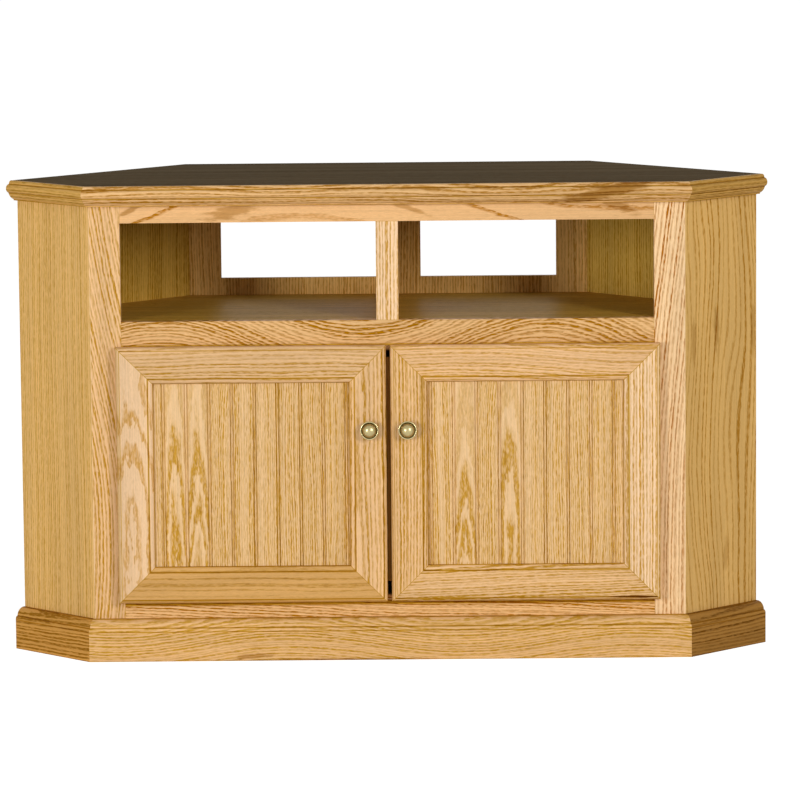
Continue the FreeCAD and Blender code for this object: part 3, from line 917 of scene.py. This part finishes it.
def dress_inside():
    first_seed = 63
    panels = (
        ("left_wall_panel", UP, LEFT_WALL, inside, True),
        ("right_wall_panel", UP, RIGHT_WALL, inside_light, True),
        ("back_panel", UP, RIGHT, inside_back, True),
        ("bottom_deck", RIGHT, BACKWARD, inside, False),
        ("bay_deck", RIGHT, BACKWARD, inside, False),
        ("loose_shelf", RIGHT, BACKWARD, inside, False),
        ("bay_partition", UP, BACKWARD, inside, False),
    )
    for number, (node, along, across, finish, bare_back) in enumerate(panels):
        dress_oak(node, board(node, along, across), cut(fine, first_seed + number, pith_across=0.5), finish,
                  panel=True, bare_back=bare_back, pores=inside_pores, gloss=matt)
    dress_oak("right_door_gap_strip", board("right_door_gap_strip", UP, RIGHT),
              cut(fine, 70, pith_across=0.2), gap_oak, gloss=matt)


def dress_battens():
    first_seed = 72
    dress_oak("top_glue_blocks", board("top_glue_blocks", RIGHT, UP),
              cut(straight, 71, pith_across=0.1), raw)
    for number, deck in enumerate(("bottom", "shelf", "bay")):
        for side, along in (("left", LEFT_WALL), ("right", RIGHT_WALL), ("back", RIGHT)):
            node = deck + "_cleat_" + side
            own_cut = cut(straight, first_seed + number, pith_across=0.1)
            dress_oak(node, board(node, along, UP), own_cut, raw)


def dress_top():
    # The top is oak darkened with painted shade and painted dark reflection, without gloss
    dress_oak("top_panel", board("top_panel", RIGHT, BACKWARD),
              cut(fine, 80, pith_across=0.4, wander=0.02, ring_pitch=0.006), top_oak_with_painted_shade, gloss=dull)


def lathe_lines(g, radius, y):
    """Fine lines round the Y axis, as turning leaves them."""
    return g.noise(g.whole(g.times(radius, turning_scale), g.times(y, turning_scale), 0.0))["Fac"]


def zinc_plate():
    """Plated steel with fine lines and a darker bloom."""
    material, g = new_material("zinc plate")
    place = g.coordinates()
    x, y, z = g.parts(place)
    lines = lathe_lines(g, g.distance(x, z), y)
    bloom = g.step(g.scaled_noise(place, bloom_scale, detail=3.0), *bloom_limits)
    base = g.blend(bloom, zinc_bright, zinc_dark)
    roughness = g.add(zinc_roughness, g.times(g.centred(lines), zinc_line_share))
    finish_material(g, base, roughness, lines, zinc_line_depth, Metallic=1.0)
    return material


def brass_with_painted_reflections(name, foot):
    """Brass with painted light: a painted highlight on the dome and on the front of the rim, dark patina in
    the groove, and painted dark reflection on the dome's flanks.
    """
    material, g = new_material(name)
    place = g.coordinates()
    x, y, z = g.parts(g.shift(place, tuple(-foot)))
    radius = g.distance(x, z)
    lines = lathe_lines(g, radius, y)
    mottle = g.scaled_noise(place, mottle_scale, detail=3.0)
    wear_and_highlight = g.add(radius, g.times(g.centred(mottle), mottle_reach))
    dome_highlight = g.step(wear_and_highlight, *dome_highlight_limits, dome_highlight_share, 0.0)
    dome = g.add(dome_highlight, g.step(wear_and_highlight, *dome_limits, dome_share, 0.0))
    rim = g.times(g.near(radius, rim_highlight_radius, rim_highlight_half), g.step(y, *rim_highlight_limits))
    high = g.larger(dome, rim)
    base = g.blend(high, brass_patina_and_dark_reflection, brass_highlight)
    roughness = g.step(high, 0.0, 1.0, *brass_roughness)
    roughness = g.add(roughness, g.times(g.centred(lines), brass_line_share))
    finish_material(g, base, roughness, lines, brass_line_depth, Metallic=1.0)
    return material


def bumper_rubber():
    material, g = new_material("bumper rubber")
    mottle = g.scaled_noise(g.coordinates(), rubber_scale, detail=2.0)
    base = g.blend(mottle, rubber_pale, rubber_dark)
    finish_material(g, base, g.step(mottle, *rubber_limits, *rubber_roughness), mottle, rubber_depth)
    return material


def dress_hinges_and_bumpers(steel, rubber):
    for side in ("left", "right"):
        dress(side + "_hinge_arms", steel)
        dress(side + "_hinge_cups", steel)
        dress(side + "_door_bumpers", rubber)


def arc(middle, size, start, end, steps):
    """Points of an arc about a middle, from one angle in degrees to another."""
    angles = [math.radians(start + (end - start) * step / steps) for step in range(steps + 1)]
    return [(middle[0] + size * math.cos(angle), middle[1] + size * math.sin(angle)) for angle in angles]


def turn_into(mesh, outline, foot, axis, segments):
    """Adds a closed form turned about an axis from (radius, rise) points that start and end on the axis."""
    side = axis.orthogonal().normalized()
    other = axis.cross(side)
    rings = []
    for radius, rise in outline:
        ring = []
        for number in range(1 if radius == 0 else segments):
            turn = 2 * math.pi * number / segments
            outward = side * math.cos(turn) + other * math.sin(turn)
            ring.append(mesh.verts.new(foot + axis * rise + outward * radius))
        rings.append(ring)
    for lower, upper in zip(rings, rings[1:]):
        for number in range(segments):
            after = (number + 1) % segments
            corners = [lower[number % len(lower)], lower[after % len(lower)],
                       upper[after % len(upper)], upper[number % len(upper)]]
            mesh.faces.new(list(dict.fromkeys(corners)))
    return rings


def finished_piece(mesh, name, material):
    bmesh.ops.recalc_face_normals(mesh, faces=mesh.faces)
    for face in mesh.faces:
        face.smooth = True
    data = bpy.data.meshes.new(name)
    mesh.to_mesh(data)
    mesh.free()
    data.materials.append(material)
    thing = bpy.data.objects.new(name, data)
    bpy.context.scene.collection.objects.link(thing)
    return thing


def knob_points():
    """Foot, hollow neck, flare, rolled rim, groove and dome of a knob."""
    points = [(0.0, 0.0)]
    points += arc((foot_radius, foot_round), foot_round, start=-90, end=90, steps=6)
    points += arc(neck_middle, neck_round, start=215, end=150, steps=10)
    points += flare
    points += arc(rim_middle, rim_round, start=-70, end=185, steps=14)
    points += groove
    for step in range(dome_steps):
        lean = math.pi / 2 * step / dome_steps
        rise = dome_start + (knob_reach - dome_start) * math.sin(lean)
        points.append((dome_radius * math.cos(lean), rise))
    return points + [(0.0, knob_reach)]


def add_knobs():
    for side in ("left", "right"):
        node = side + "_knob"
        foot = middle_of(node)
        foot.y = knob_high[1]
        mesh = bmesh.new()
        turn_into(mesh, knob_points(), foot, -BACKWARD, knob_segments)
        knob = finished_piece(mesh, side + "_turned_knob", brass_with_painted_reflections(side + " brass with painted reflections", foot))
        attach(knob, side + "_door")
        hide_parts(node)


def screw_head(mesh, foot, axis, radius):
    """A low pan head with a cross recess."""
    rise = radius * pan_rise_share
    flat_radius = radius * pan_flat_share
    shoulder = [share * size for share, size in zip(pan_shoulder_shares, (radius, rise))]
    sides = [(0.0, 0.0), (radius, 0.0), (radius, rise * pan_wall_share), shoulder, (flat_radius, rise)]
    face = [(flat_radius * step / pan_rings, rise) for step in reversed(range(pan_rings))]
    for ring in turn_into(mesh, sides + face, foot, axis, screw_segments)[len(sides):]:
        for number, corner in enumerate(ring):
            turn = 2 * math.pi * number / screw_segments
            reach = (corner.co - foot - axis * rise).length
            off_arm = reach * min(abs(math.cos(turn)), abs(math.sin(turn)))
            if reach <= radius * recess_reach_share and off_arm <= radius * recess_half_share:
                corner.co -= axis * rise * recess_depth_share


def hinge_places(x, y, step):
    """Two places at each hinge of a door, one above the other."""
    heights = (arms_low[2] + arm_half_height, arms_high[2] - arm_half_height)
    return [Vector((x, y, height + rise)) for height in heights for rise in (-step, step)]


def add_screws(steel):
    arm_face_x = opening_half - arm_thickness
    arm_screw_y = arms_high[1] - arm_screw_inset
    cup_middle_x = door_outer_x - cup_inset
    for side, sign in (("left", -1), ("right", 1)):
        knob = middle_of(side + "_knob")
        arm_places = hinge_places(sign * arm_face_x, arm_screw_y, arm_screw_step)
        cup_places = hinge_places(sign * cup_middle_x, cup_flange_y, cup_screw_step)
        knob_places = [Vector((knob.x, door_back_y, knob.z))]
        for name, places, axis, radius, body in (
            ("_hinge_plate_screws", arm_places, RIGHT * -sign, hinge_screw_radius, "cabinet"),
            ("_hinge_cup_screws", cup_places, BACKWARD, hinge_screw_radius, side + "_door"),
            ("_knob_screw", knob_places, BACKWARD, knob_screw_radius, side + "_door"),
        ):
            mesh = bmesh.new()
            for place in places:
                screw_head(mesh, place, axis, radius)
            screws = finished_piece(mesh, side + name, steel)
            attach(screws, body)


def seen_share(g):
    """1 for the rays that see the background: camera, mirror and glass rays."""
    rays = g.node("ShaderNodeLightPath").outputs
    return g.larger(g.larger(rays["Is Camera Ray"], rays["Is Glossy Ray"]), rays["Is Transmission Ray"])


def add_floor():
    bpy.ops.mesh.primitive_plane_add(size=floor_size)
    floor = bpy.context.object
    floor.name = "studio_floor"
    material, g = new_material("studio floor")
    seen = seen_share(g)
    shade = g.step(seen, 0.0, 1.0, floor_bounce_share, floor_shade_share)
    diffuse = g.node("ShaderNodeBsdfDiffuse", {"Color": g.grey(shade)}).outputs[0]
    glow = g.node("ShaderNodeEmission", {"Strength": g.times(seen, floor_glow_share)}).outputs[0]
    both = g.node("ShaderNodeAddShader", {0: diffuse, 1: glow}).outputs[0]
    g.node("ShaderNodeOutputMaterial", {"Surface": both})
    floor.data.materials.append(material)


def add_world():
    world = bpy.data.worlds.new("studio")
    world.use_nodes = True
    world.node_tree.nodes.clear()
    g = Graph(world.node_tree)
    strength = g.step(seen_share(g), 0.0, 1.0, sky_strength, backdrop_strength)
    sky = g.node("ShaderNodeBackground", {"Color": white, "Strength": strength})
    g.node("ShaderNodeOutputWorld", {"Surface": sky.outputs[0]})
    bpy.context.scene.world = world


def add_key_lights():
    for side, place, watts in zip(("left", "right"), key_places, key_watts):
        lamp = bpy.data.lights.new(side + " key light", "AREA")
        lamp.shape = "RECTANGLE"
        lamp.size = key_width
        lamp.size_y = key_rise
        lamp.energy = watts
        thing = bpy.data.objects.new(side + " key light", lamp)
        thing.location = place
        thing.rotation_euler = (key_aim - place).to_track_quat("-Z", "Y").to_euler()
        bpy.context.scene.collection.objects.link(thing)


def add_camera():
    camera = bpy.data.cameras.new("camera")
    camera.sensor_width = sensor_width
    camera.lens = focal_pixels / image_pixels * sensor_width
    thing = bpy.data.objects.new("camera", camera)
    ahead = Vector((
        math.sin(camera_yaw) * math.cos(camera_pitch),
        math.cos(camera_yaw) * math.cos(camera_pitch),
        -math.sin(camera_pitch),
    ))
    level = Vector((math.cos(camera_yaw), -math.sin(camera_yaw), 0))
    plumb = level.cross(ahead)
    right = level * math.cos(camera_roll) + plumb * math.sin(camera_roll)
    turn = Matrix((right, right.cross(ahead), -ahead)).transposed()
    thing.matrix_world = Matrix.Translation(camera_place) @ turn.to_4x4()
    bpy.context.scene.collection.objects.link(thing)
    bpy.context.scene.camera = thing


dress_face_frame()
dress_left_door()
dress_right_door()
dress_panels()
dress_crown()
dress_base()
dress_wings()
dress_inside()
dress_battens()
dress_top()
steel = zinc_plate()
dress_hinges_and_bumpers(steel, bumper_rubber())
add_screws(steel)
add_knobs()
add_floor()
add_world()
add_key_lights()
add_camera()
bpy.context.scene.view_settings.view_transform = "Standard"
